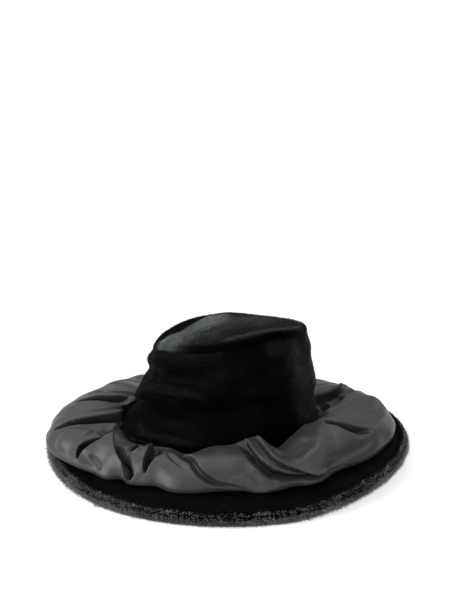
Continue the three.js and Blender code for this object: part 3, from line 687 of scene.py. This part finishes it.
def crown_side_points():
    angle, height = np.meshgrid(CROWN_ANGLES, CROWN_HEIGHTS, indexing="ij")
    outside = on_crown(angle, height)
    around, up = grid_ways(outside)
    outward = unit(np.cross(around, up))
    radius = np.hypot(outside[..., 0] - CROWN_SHIFT, outside[..., 1])
    span = np.full(angle.shape, CROWN_MEAN_HEIGHT)
    push = push_folds(angle, height, radius, span, CROWN_CREASES)[0]
    fade = smoothstep(height, 0, SEAM_FADE) * smoothstep(1 - height, 0, SEAM_FADE)
    # Painted sheen and highlights on the crown's side, drawn as strokes.
    painted_sheen = painted_sheen_from_strokes(angle, height, (math.radians(CROWN_MEAN_RADIUS), CROWN_MEAN_HEIGHT), CROWN_PAINTED_SHEEN)
    painted_sheen = uneven(painted_sheen, outside, change=0.2, wavelength=16, seed=15)
    push = push + lumps(outside, 5, (0.4, 46), (0.15, 14))
    outside = outside + outward * (push * fade)[..., None]
    roll = RIM_ROLL * (1 - smoothstep(1 - height, 0, RIM_ROLL_SHARE)) ** 2
    outside[..., :2] -= outward[..., :2] * roll[..., None]
    angle, height = np.meshgrid(CROWN_ANGLES, CROWN_INSIDE_HEIGHTS, indexing="ij")
    inside = on_crown(angle, height, CROWN_WALL)
    return outside, np.concatenate([outside, inside], axis=1), painted_sheen


def tip_points():
    angle, share = np.meshgrid(TIP_ANGLES, TIP_SHARES, indexing="ij")
    rolled = ((share - TIP_ROLL_START) / (1 - TIP_ROLL_START)).clip(0)
    top = on_tip(angle, share, TIP_WALL * np.sqrt(np.maximum(0, 1 - rolled**2)))
    top[..., 2] += lumps(top, 8, (0.2, 40), (0.08, 12)) * smoothstep(1 - share, 0, SEAM_FADE)
    x, y = share * np.cos(np.radians(angle)), share * np.sin(np.radians(angle))
    # Painted sheen and highlights on the tip, drawn as strokes.
    painted_sheen = painted_sheen_from_strokes(x, y, (TIP_HALF_LENGTH, TIP_HALF_DEPTH), TIP_PAINTED_SHEEN)
    painted_sheen = uneven(painted_sheen, top, change=0.1, wavelength=14, seed=16)
    angle, share = np.meshgrid(TIP_ANGLES, TIP_UNDER_SHARES, indexing="ij")
    under = on_tip(angle, share, 0.0)
    return top, np.concatenate([top, under], axis=1), painted_sheen


def brim_under_points():
    angles = BRIM_ANGLES
    width = brim_width(angles)
    lift = side_lift(angles)
    foot_top = BRIM_FOOT_HEIGHT - BRIM_PLY - SEAM_GAP
    seam = width - EDGE_FOLD
    flat = width - BRIM_REST
    half_top = foot_top + (lift + BRIM_PLY - foot_top) * 0.5**BRIM_FALL

    def inner_edge(height):
        return np.insert(crown_foot(angles, CROWN_WALL), 2, height, axis=1)

    turn = [
        over_brim(angles, width - inward * BRIM_EDGE, lift + rise * BRIM_EDGE)
        for inward, rise in zip(BRIM_TURN["inward"], BRIM_TURN["rise"])
    ]
    loop = [
        inner_edge(foot_top - BRIM_PLY),
        over_brim(angles, flat / 2, half_top - BRIM_PLY),
        over_brim(angles, flat, lift),
        *turn,
        over_brim(angles, seam, brim_top(angles, seam / width) - UNDER_SEAM_DROP),
        over_brim(angles, seam, lift + BRIM_PLY),
        over_brim(angles, flat, lift + BRIM_PLY),
        over_brim(angles, flat / 2, half_top),
        inner_edge(foot_top),
    ]
    points = smooth_loop(np.stack(loop, axis=1), BRIM_LOOP_STEPS)
    points[..., 2] = np.maximum(points[..., 2], 0)
    return points


def brim_upper_points():
    width = brim_width(BRIM_ANGLES)
    seam = width - EDGE_FOLD - SEAM_GAP
    angle, share = np.meshgrid(BRIM_ANGLES, BRIM_SHARES, indexing="ij")
    distance = share * seam[:, None]
    height = brim_top(angle, distance / width[:, None])
    over = over_brim(angle, distance, height)
    under = over_brim(angle, distance, height - BRIM_PLY)
    over[..., 2] += lumps(over, 11, (0.5, 40), (0.2, 13)) * smoothstep(share, *UPPER_LUMPS_START)
    over[..., 2] -= UPPER_SEAM_DROP * smoothstep(share, UPPER_DROP_START, 1.0)
    return over, np.concatenate([over, under[:, ::-BRIM_UNDER_STEP]], axis=1)


crown_outside, crown_all, crown_painted_sheen = crown_side_points()
crown_side = add_cloth("crown_side_plush", crown_all, "crown_side", painted_sheen=crown_painted_sheen)
tip_top, tip_all, tip_painted_sheen = tip_points()
crown_tip = add_cloth("crown_tip_plush", tip_all, "crown_tip", round_columns=False, flip=True, painted_sheen=tip_painted_sheen)
close_middles(crown_tip)
under_all = brim_under_points()
brim_under = add_cloth("brim_under_plush", under_all, "brim_under")
upper_top, upper_all = brim_upper_points()
brim_upper = add_cloth("brim_upper_plush", upper_all, "brim_upper", flip=True)


# The satin flounce


# How much closer the columns lie round an angle, up to one half angle and fading out by another.
# They are widest apart behind, and closest together at the flap and the arch.
COLUMN_CLOSENESS = [
    (90, -0.4, 35, 65),
    (-125, 0.8, 22, 32),
]

# Where along its section the cloth opens out of its gathered edge and closes at its hem, and where
# its folds turn from upright to square with the cloth.
OPENS = (0.0, 0.06)
CLOSES = (0.74, 0.88)
FOLDS_TILT = (0.1, 0.4)


def close_columns(count):
    """Angles once round, spread by COLUMN_CLOSENESS."""
    fine = np.linspace(-180, 180, 3601)
    closeness = np.ones(len(fine))
    for middle, change, near, far in COLUMN_CLOSENESS:
        closeness += change * smoothstep(-np.abs(turn_between(middle, fine)), -far, -near)
    steps = np.concatenate([[0], np.cumsum((closeness[1:] + closeness[:-1]) / 2)])
    return np.interp(np.arange(count) / count * steps[-1], steps, fine)


def satin_points():
    angle, along = np.meshgrid(close_columns(SATIN_COLUMNS), SATIN_ROWS, indexing="ij")
    base = on_satin_base(angle, along)
    around, down = grid_ways(base)
    outward = unit(np.cross(down, around))
    radius = np.hypot(base[..., 0] - CROWN_SHIFT, base[..., 1])
    steps = np.linalg.norm(np.diff(base, axis=1), axis=-1).sum(axis=1)
    span = np.broadcast_to(steps[:, None], angle.shape)
    out, round_way, down_way = push_folds(angle, along, radius, span, SATIN_FOLDS + BACK_FOLDS)
    open_share = smoothstep(along, *OPENS) * (1 - smoothstep(along, *CLOSES))
    out = (out + lumps(base, 21, (0.8, 55), (0.35, 20))) * open_share
    tilt = smoothstep(along, *FOLDS_TILT)[..., None]
    upward = unit(outward * tilt + np.array([0.0, 0.0, 1.0]) * (1 - tilt))
    points = base + upward * out[..., None]
    points += around * (round_way * open_share)[..., None]
    points += down * (down_way * open_share)[..., None]
    points[..., 2] -= EDGE_DROP * (1 - smoothstep(along, 0, EDGE_DROP_END))
    # the cloth stays above the brim
    plan = points[..., :2] - crown_foot(angle)
    share = (plan * unit(brim_outline(angle) - crown_foot(angle))).sum(axis=-1) / brim_width(angle)
    lowest = brim_top(angle, share) + DRAPE_GAP + SATIN_WALL / 2
    points[..., 2] = np.where(along < HEM_TUCK, np.maximum(points[..., 2], lowest), points[..., 2])
    return points


satin = add_cloth("satin_flounce_cloth", satin_points(), "satin_flounce", round_columns=False, flip=True)


# Materials

WHITE = (1, 1, 1, 1)
# The light grey that the plush is mixed towards for painted sheen and highlights.
PAINTED_SHEEN_COLOUR = (0.11, 0.117, 0.121, 1)


def set_inputs(node, values):
    for name, value in values.items():
        node.inputs[name].default_value = value


def node_material(name):
    material = bpy.data.materials.new(name)
    material.use_nodes = True
    nodes = material.node_tree.nodes
    return material, nodes, material.node_tree.links, nodes["Principled BSDF"]


def noise(nodes, links, coordinates, scale, detail=3.0, roughness=0.55):
    texture = nodes.new("ShaderNodeTexNoise")
    set_inputs(texture, {"Scale": scale, "Detail": detail, "Roughness": roughness})
    links.new(coordinates, texture.inputs["Vector"])
    return texture.outputs["Fac"]


def ramp(nodes, links, value, dark, light):
    colours = nodes.new("ShaderNodeValToRGB")
    for element, position, colour in zip(colours.color_ramp.elements, (0.3, 0.7), (dark, light)):
        element.position = position
        element.color = (*colour, 1)
    links.new(value, colours.inputs["Fac"])
    return colours.outputs["Color"]


def bump_from(nodes, links, height, strength, distance, normal=None):
    node = nodes.new("ShaderNodeBump")
    set_inputs(node, {"Strength": strength, "Distance": distance})
    links.new(height, node.inputs["Height"])
    if normal:
        links.new(normal, node.inputs["Normal"])
    return node.outputs["Normal"]


def combined(nodes, links, operation, first, second):
    """Two values combined by a mathematical operation."""
    node = nodes.new("ShaderNodeMath")
    node.operation = operation
    links.new(first, node.inputs[0])
    links.new(second, node.inputs[1])
    return node.outputs["Value"]


def plush_material(name, dark, light, unevenness, sheen):
    material, nodes, links, shader = node_material(name)
    place = nodes.new("ShaderNodeTexCoord").outputs["Object"]
    patches = noise(nodes, links, place, scale=38, detail=4)
    # Painted sheen and highlights: the colour is mixed towards a light grey by the pieces' point attribute,
    # with flecks.
    painted_sheen_attribute = nodes.new("ShaderNodeAttribute")
    painted_sheen_attribute.attribute_name = "painted_sheen"
    flecks = noise(nodes, links, place, scale=240, detail=4, roughness=0.7)
    uneven_painted_sheen = combined(nodes, links, "MULTIPLY", painted_sheen_attribute.outputs["Fac"], flecks)
    colour = nodes.new("ShaderNodeMix")
    colour.data_type = "RGBA"
    links.new(uneven_painted_sheen, colour.inputs["Factor"])
    links.new(ramp(nodes, links, patches, dark, light), colour.inputs["A"])
    colour.inputs["B"].default_value = PAINTED_SHEEN_COLOUR
    links.new(colour.outputs["Result"], shader.inputs["Base Color"])
    set_inputs(shader, {
        "Roughness": 0.5,
        "IOR": 1.055,
        "Sheen Weight": sheen,
        "Sheen Roughness": 0.3,
        "Sheen Tint": (0.92, 0.97, 1.0, 1),
    })
    lock_height = noise(nodes, links, place, scale=260, detail=4, roughness=0.7)
    hair_height = noise(nodes, links, place, scale=1500, detail=2, roughness=0.6)
    locks = bump_from(nodes, links, lock_height, unevenness, 0.6 * MM)
    hairs = bump_from(nodes, links, hair_height, unevenness, 0.2 * MM, locks)
    links.new(hairs, shader.inputs["Normal"])
    return material


def satin_material():
    material, nodes, links, shader = node_material("charcoal_satin")
    place = nodes.new("ShaderNodeTexCoord").outputs["Object"]
    patches = noise(nodes, links, place, scale=14)
    colour = ramp(nodes, links, patches, (0.0165, 0.017, 0.0175), (0.0215, 0.022, 0.0225))
    links.new(colour, shader.inputs["Base Color"])
    rough = nodes.new("ShaderNodeMapRange")
    links.new(noise(nodes, links, place, scale=60), rough.inputs["Value"])
    set_inputs(rough, {"To Min": 0.34, "To Max": 0.44})
    links.new(rough.outputs["Result"], shader.inputs["Roughness"])
    shader.inputs["IOR"].default_value = 1.31
    crease_height = noise(nodes, links, place, scale=90, roughness=0.5)
    creases = bump_from(nodes, links, crease_height, 0.25, 0.8 * MM)
    weave = nodes.new("ShaderNodeTexWave")
    set_inputs(weave, {"Scale": 900, "Distortion": 1.5})
    links.new(place, weave.inputs["Vector"])
    threads = bump_from(nodes, links, weave.outputs["Fac"], 0.08, 0.1 * MM, creases)
    links.new(threads, shader.inputs["Normal"])
    return material


BLACKS = ((0.0004, 0.0004, 0.0005), (0.001, 0.001, 0.0011))
PLUSH = plush_material("black_plush", *BLACKS, 0.3, 0.04)
PILE = plush_material("black_pile", *BLACKS, 0.3, 0.03)
# The edge's pile is a much lighter copy of the black pile: painted light where the brim's rolled edge catches
# the light.
EDGE_PILE_PAINTED_LIGHT = plush_material("pile_painted_edge_light", (0.07, 0.07, 0.071), (0.15, 0.15, 0.152), 0.35, 0.2)
SATIN = satin_material()

for piece in (crown_side, crown_tip, brim_under, brim_upper):
    piece.data.materials.append(PLUSH)
satin.data.materials.append(SATIN)


# Pile

# A tuft's faces, how deep its foot stands, and the least height of any of its points.
TUFT_FACES = ((0, 1, 3), (1, 2, 3), (2, 0, 3), (0, 2, 1))
ROOT_DEPTH = 0.4 * MM
LEAST_HEIGHT = 0.3 * MM

# How tufts differ: in their way, in their length, and in the locks that they are drawn into.
WAY_SPREAD = 0.15
LENGTH_SPREAD = (0.6, 1.15)
LOCK_PULL = 0.45
LOCK_TURN = 0.1
HAIR_TURN = 0.05

# Numbers that scatter each lock's middle within its cell of space.
CELL_WEIGHTS = np.array([12.9898, 78.233, 37.719])
CELL_SPREADS = np.array([43758.5, 22578.1, 19642.3])

# Heights between which the crown's pile begins, and by how much the brim's begins early.
CROWN_PILE_STARTS = (30 * MM, 45 * MM)
HEM_MARGIN = 0.12

# Columns of the brim's under ply, and between which of them the edge's pile thins out by a share,
# and the turned cloth's pile thickens and its painted sheen fades. That painted sheen is centred round two
# angles.
EDGE_COLUMNS = slice(15, 41)
TURNED_COLUMNS = slice(15, 49)
SEAM_COLUMNS = slice(35, 41)
FUZZ_COLUMNS = slice(19, 32)
EDGE_THINS = (24, 37)
EDGE_THINNING = 0.9
TURNED_THICKENS = (20, 34)
TURNED_PAINTED_SHEEN_FADES = (36, 44)
TURNED_PAINTED_SHEENS = ((0.7, -148), (0.25, -30))
TURNED_PAINTED_SHEEN_HALF_ANGLE = 26

# The grids of the tip and the brim's top are taken inwards, so that their pile stands up.
INWARDS = slice(None, None, -1)
TIP_RIM = slice(None, -8, -1)


def roots_on(points, around, up, painted_sheen, count, weight, rng):
    """Random places on a grid's faces: points, ways round and up the grid, and painted sheen."""
    rows, columns = points.shape[:2]
    next_row = np.roll(points, -1, axis=0)
    corners = [points[:, :-1], next_row[:, :-1], next_row[:, 1:], points[:, 1:]]
    cross = np.cross(corners[2] - corners[0], corners[3] - corners[1])
    area = np.linalg.norm(cross, axis=-1) * np.broadcast_to(weight, points.shape[:2])[:, :-1]
    chance = np.cumsum(area.ravel())
    picks = np.searchsorted(chance, rng.uniform(0, chance[-1], count))
    i, j = picks // (columns - 1), picks % (columns - 1)
    u, v = rng.uniform(size=(2, count))
    i2 = (i + 1) % rows
    weights = [(1 - u) * (1 - v), u * (1 - v), u * v, (1 - u) * v]
    places = [(i, j), (i2, j), (i2, j + 1), (i, j + 1)]

    def mixed(grid):
        return sum(w[:, None] * grid[a, b] for w, (a, b) in zip(weights, places))

    painted_sheen_there = mixed(np.broadcast_to(painted_sheen, (rows, columns))[..., None])[:, 0]
    return mixed(points), unit(mixed(around)), unit(mixed(up)), painted_sheen_there


def add_pile(name, grid, material, count, length, width, comb, stand, clump, stray, seed, weight=1, painted_sheen=0):
    """Tufts of pile over a grid of points: closed spikes with three sides.

    comb is how far they lie round and up the grid, and stand how far they stand off it.
    clump is the size of the locks that they gather in, and stray how unevenly they lie."""
    rng = np.random.default_rng(seed)
    around, up = grid_ways(grid)
    root, way_round, way_up, painted_sheen_there = roots_on(grid, around, up, painted_sheen, count, weight, rng)

    def patches(change, wavelength, step):
        return change * stray * ripple(root, wavelength * MM, seed + step)

    outward = unit(np.cross(way_round, way_up))
    lie_round = comb[0] + patches(0.6, 30, 1)
    lie_up = comb[1] + patches(0.5, 24, 2)
    way = outward * stand + way_round * lie_round[:, None] + way_up * lie_up[:, None]
    way = unit(way + WAY_SPREAD * rng.normal(size=way.shape))
    tall = length * rng.uniform(*LENGTH_SPREAD, count) * (1 + patches(0.25, 9, 3))
    cell = np.floor(root / clump)
    centre = (cell + np.sin(cell @ CELL_WEIGHTS)[:, None] * CELL_SPREADS % 1.0) * clump
    pull = (centre - root) * LOCK_PULL * stray
    pull -= outward * (pull * outward).sum(axis=1, keepdims=True)
    apex = root + way * tall[:, None] + pull
    side = unit(np.cross(way, rng.normal(size=way.shape)))
    other = np.cross(way, side)
    foot = root - outward * ROOT_DEPTH
    corners = []
    for turn in (0, 2 * math.pi / 3, 4 * math.pi / 3):
        corners.append(foot + (side * math.cos(turn) + other * math.sin(turn)) * width / 2)
    points = np.stack([*corners, apex], axis=1)
    points[..., 2] = np.maximum(points[..., 2], LEAST_HEIGHT)
    first = np.arange(count)[:, None] * 4
    faces = np.concatenate([first + np.array(corner) for corner in TUFT_FACES])
    piece = add_piece(name, points, faces, painted_sheen=np.repeat(painted_sheen_there, 4))
    lock = np.random.default_rng(seed + 5).normal(size=(count, 3))
    normals = unit(outward + LOCK_TURN * way + HAIR_TURN * lock)
    piece.data.normals_split_custom_set_from_vertices(np.repeat(normals, 4, axis=0).tolist())
    piece.data.materials.append(material)


def column_numbers(part):
    return np.arange(part.start, part.stop)[None, :]


crown_weight = smoothstep(crown_outside[..., 2], *CROWN_PILE_STARTS)
add_pile(
    "crown_side_pile", crown_outside, PILE, 30000, length=2.7 * MM, width=0.75 * MM, comb=(0.2, -0.9),
    stand=0.2, clump=6 * MM, stray=0.15, seed=31, weight=crown_weight, painted_sheen=crown_painted_sheen,
)
add_pile(
    "crown_tip_pile", tip_top[:, INWARDS], PILE, 11000, length=2.5 * MM, width=0.7 * MM, comb=(0.5, -0.3),
    stand=0.2, clump=6 * MM, stray=0.08, seed=41, painted_sheen=tip_painted_sheen[:, INWARDS],
)
add_pile(
    "crown_rim_pile", tip_top[:, TIP_RIM], PILE, 8000, length=3.2 * MM, width=0.7 * MM, comb=(0.3, -1.0),
    stand=0.15, clump=5 * MM, stray=0.2, seed=45, painted_sheen=tip_painted_sheen[:, TIP_RIM],
)

# The brim's pile lies on the inner part of its top, counted here from the seam inwards.
inner_share = BRIM_SHARES[None, :]
hem_share = round_table(SATIN_RIM, "reach", BRIM_ANGLES)[:, None]
upper_weight = np.where(inner_share > hem_share - HEM_MARGIN, 1.0, 0.0)
add_pile(
    "brim_upper_pile", upper_top[:, INWARDS], PILE, 18000, length=2.7 * MM, width=0.7 * MM, comb=(0.3, -0.7),
    stand=0.25, clump=5 * MM, stray=0.5, seed=51, weight=upper_weight,
)

# The edge, seam and fuzz piles wear the lighter pile, which is painted light for the brim's lit edge.
add_pile(
    "brim_edge_pile", under_all[:, EDGE_COLUMNS], EDGE_PILE_PAINTED_LIGHT, 28000, length=2.8 * MM, width=0.6 * MM,
    comb=(0.3, -0.2), stand=0.3, clump=5 * MM, stray=0.8, seed=61,
    weight=1 - EDGE_THINNING * smoothstep(column_numbers(EDGE_COLUMNS), *EDGE_THINS),
)
turned_places = column_numbers(TURNED_COLUMNS)
# Painted sheen on the turned cloth of the brim's edge, lightest at the front left and front right.
turned_painted_sheen = 0.0
for strength, middle in TURNED_PAINTED_SHEENS:
    away = turn_between(middle, BRIM_ANGLES[:, None]) / TURNED_PAINTED_SHEEN_HALF_ANGLE
    turned_painted_sheen = turned_painted_sheen + strength * bump(away)
turned_painted_sheen = turned_painted_sheen * (1 - smoothstep(turned_places, *TURNED_PAINTED_SHEEN_FADES))
add_pile(
    "brim_turned_pile", under_all[:, TURNED_COLUMNS], PILE, 28000, length=2.6 * MM, width=0.6 * MM,
    comb=(0.3, 0.5), stand=0.25, clump=5 * MM, stray=0.4, seed=65,
    weight=smoothstep(turned_places, *TURNED_THICKENS), painted_sheen=turned_painted_sheen,
)
add_pile(
    "brim_seam_pile", under_all[:, SEAM_COLUMNS], EDGE_PILE_PAINTED_LIGHT, 2200, length=2.6 * MM, width=0.5 * MM,
    comb=(0.8, 0.2), stand=0.5, clump=4 * MM, stray=1.2, seed=71,
)
add_pile(
    "brim_edge_fuzz", under_all[:, FUZZ_COLUMNS], EDGE_PILE_PAINTED_LIGHT, 22000, length=4.5 * MM, width=0.22 * MM,
    comb=(0.4, 0.0), stand=1.4, clump=4 * MM, stray=0.6, seed=81,
)


# Floor, light and camera

FLOOR_HALF = 12.0
FLOOR_GREY = (0.25, 0.25, 0.25, 1)
FLOOR_GLOW = 0.75
ROOM_LIGHT_WAY = (-0.35, -0.2, 0.9)
ROOM_LIGHT_START = -0.3
ROOM_BRIGHT = 1.7
CAMERA_PLACE = (-0.003, -1.40014, 0.54361)
CAMERA_PITCH = math.radians(15.04)


def add_area(name, place, target, size, power, colour=(1, 1, 1)):
    light = bpy.data.lights.new(name, "AREA")
    light.shape = "RECTANGLE"
    light.size, light.size_y = size
    light.energy = power
    light.color = colour
    lamp = add_object(name, light)
    lamp.location = place
    way = np.array(target) - np.array(place)
    lamp.rotation_euler = Vector(way).to_track_quat("-Z", "Y").to_euler()


floor_mesh = bpy.data.meshes.new("floor")
corners = [(x * FLOOR_HALF, y * FLOOR_HALF, 0) for x, y in ((-1, -1), (1, -1), (1, 1), (-1, 1))]
floor_mesh.from_pydata(corners, [], [(0, 1, 2, 3)])
floor = add_object("floor", floor_mesh)
floor_material, _, _, floor_shader = node_material("pale_floor")
set_inputs(floor_shader, {
    "Base Color": FLOOR_GREY,
    "Roughness": 1.0,
    "Specular IOR Level": 0.0,
    "Emission Color": WHITE,
    "Emission Strength": FLOOR_GLOW,
})
floor_mesh.materials.append(floor_material)

# The room's light comes from above and a little from the front left, and the camera sees it white.
world = bpy.data.worlds.new("studio")
world.use_nodes = True
world_nodes = world.node_tree.nodes
world_links = world.node_tree.links
background = world_nodes["Background"]
towards = world_nodes.new("ShaderNodeVectorMath")
towards.operation = "DOT_PRODUCT"
towards.inputs[1].default_value = ROOM_LIGHT_WAY
world_links.new(world_nodes.new("ShaderNodeTexCoord").outputs["Generated"], towards.inputs[0])
glow = world_nodes.new("ShaderNodeMapRange")
set_inputs(glow, {"From Min": ROOM_LIGHT_START, "To Max": ROOM_BRIGHT})
world_links.new(towards.outputs["Value"], glow.inputs["Value"])
seen = world_nodes.new("ShaderNodeLightPath").outputs["Is Camera Ray"]
at_least_white = combined(world_nodes, world_links, "MAXIMUM", glow.outputs["Result"], seen)
background.inputs["Color"].default_value = WHITE
world_links.new(at_least_white, background.inputs["Strength"])
bpy.context.scene.world = world

add_area("top_light", (-0.2, 0.1, 1.6), (0, 0, 0.05), (1.4, 1.0), 8)
add_area("left_light", (-1.4, -0.5, 0.68), (0, 0, 0.05), (1.3, 1.2), 34)
add_area("front_light", (0.8, -1.5, 0.3), (0, 0, 0.03), (1.2, 0.4), 9)
add_area("right_light", (1.1, 1.0, 0.5), (0, 0, 0.08), (0.5, 0.8), 2, (0.85, 0.95, 1.0))

# The photograph's camera: its distance and pitch come from the ellipse of the brim.
camera_data = bpy.data.cameras.new("camera")
camera_data.lens = 85
camera_data.sensor_width = 36
camera = add_object("camera", camera_data)
camera.location = CAMERA_PLACE
camera.rotation_euler = (math.pi / 2 - CAMERA_PITCH, 0, 0)
bpy.context.scene.camera = camera
bpy.context.scene.view_settings.view_transform = "Standard"
